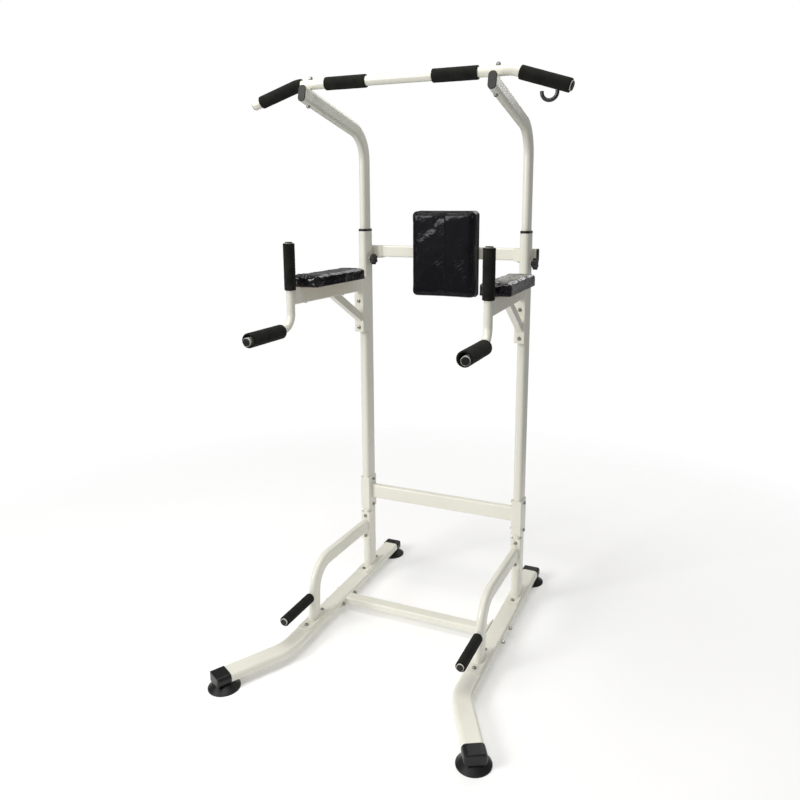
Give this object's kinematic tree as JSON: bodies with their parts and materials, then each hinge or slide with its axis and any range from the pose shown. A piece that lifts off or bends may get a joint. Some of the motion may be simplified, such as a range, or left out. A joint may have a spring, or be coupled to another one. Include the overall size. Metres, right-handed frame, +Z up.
{
  "type": "power tower",
  "caption": "Free-standing power tower with height-adjustable pull-up bar, padded dip arms, back pad and push-up grips.",
  "frame": {"origin": "on the floor, in the middle of the base's width and length", "axes": "+X to the right of a user-facing viewer's picture, +Y away from the user towards the back pad side, +Z up"},
  "size_m": [0.9914, 1.063, 1.7817],
  "materials": {
    "frame_paint": "glossy cream-white powder coat",
    "grip_foam": "matt closed-cell foam",
    "pad_vinyl": "glossy black vinyl under clear film",
    "pad_board": "plain plywood",
    "foot_rubber": "satin moulded rubber",
    "zinc_fasteners": "zinc plated",
    "knob_plastic": "moulded black",
    "black_plastic": "moulded black",
    "hook_paint": "black paint"
  },
  "bodies": {
    "frame": {"arm_bolts": "zinc_fasteners", "back_pad": "pad_vinyl", "back_pad_board": "pad_board", "base_bolts": "zinc_fasteners", "bottom_crossbar": "frame_paint", "brace_bolts": "zinc_fasteners", "crossbar_end_caps": "black_plastic", "front_left_foot": "foot_rubber", "front_right_foot": "foot_rubber", "handle_plugs": "black_plastic", "left_base_rail": "frame_paint", "left_collar": "black_plastic", "left_curved_brace": "frame_paint", "left_dip_arm": "frame_paint", "left_dip_grip": "grip_foam", "left_dip_handle": "frame_paint", "left_elbow_pad": "pad_vinyl", "left_elbow_pad_board": "pad_board", "left_push_up_bar": "frame_paint", "left_push_up_grip": "grip_foam", "left_upright": "frame_paint", "left_upright_grip": "grip_foam", "mid_crossbar": "frame_paint", "pad_screws": "zinc_fasteners", "push_up_plugs": "black_plastic", "rear_left_foot": "foot_rubber", "rear_right_foot": "foot_rubber", "right_base_rail": "frame_paint", "right_collar": "black_plastic", "right_curved_brace": "frame_paint", "right_dip_arm": "frame_paint", "right_dip_grip": "grip_foam", "right_dip_handle": "frame_paint", "right_elbow_pad": "pad_vinyl", "right_elbow_pad_board": "pad_board", "right_push_up_bar": "frame_paint", "right_push_up_grip": "grip_foam", "right_upright": "frame_paint", "right_upright_grip": "grip_foam", "sleeve_bolts": "zinc_fasteners", "upper_crossbar": "frame_paint", "upper_crossbar_bolts": "zinc_fasteners"},
    "mast": {"left_mast_arm": "frame_paint", "right_mast_arm": "frame_paint", "mast_arm_plugs": "black_plastic", "mast_glides": "black_plastic", "pull_up_bar": "frame_paint", "left_inner_bar_grip": "grip_foam", "right_inner_bar_grip": "grip_foam", "left_outer_bar_grip": "grip_foam", "right_outer_bar_grip": "grip_foam", "bar_end_plugs": "black_plastic", "bar_bolts": "zinc_fasteners", "accessory_hook": "hook_paint"},
    "left_lock_screw": {"left_lock_stud": "zinc_fasteners"},
    "left_lock_knob": {"left_lock_knob": "knob_plastic"},
    "right_lock_screw": {"right_lock_stud": "zinc_fasteners"},
    "right_lock_knob": {"right_lock_knob": "knob_plastic"}
  },
  "joints": [
    {"name": "mast_height", "type": "slide", "parent": "frame", "child": "mast", "axis": [0, 0, 1], "range_m": [0, 0.3]},
    {"name": "left_lock_travel", "type": "slide", "parent": "frame", "child": "left_lock_screw", "axis": [1, 0, 0], "range_m": [0, 0.0045]},
    {"name": "left_lock_turn", "type": "hinge", "parent": "left_lock_screw", "child": "left_lock_knob", "pos_m": [-0.265, 0.2855, 1.2195], "axis": [1, 0, 0], "range_deg": [0, 1080]},
    {"name": "right_lock_travel", "type": "slide", "parent": "frame", "child": "right_lock_screw", "axis": [1, 0, 0], "range_m": [0, 0.0045]},
    {"name": "right_lock_turn", "type": "hinge", "parent": "right_lock_screw", "child": "right_lock_knob", "pos_m": [0.315, 0.2855, 1.2195], "axis": [1, 0, 0], "range_deg": [0, 1080]}
  ],
  "couplings": [
    {"joint": "left_lock_travel", "follows": "left_lock_turn", "m_per_rad": 0.00023871},
    {"joint": "right_lock_travel", "follows": "right_lock_turn", "m_per_rad": 0.00023871}
  ]
}
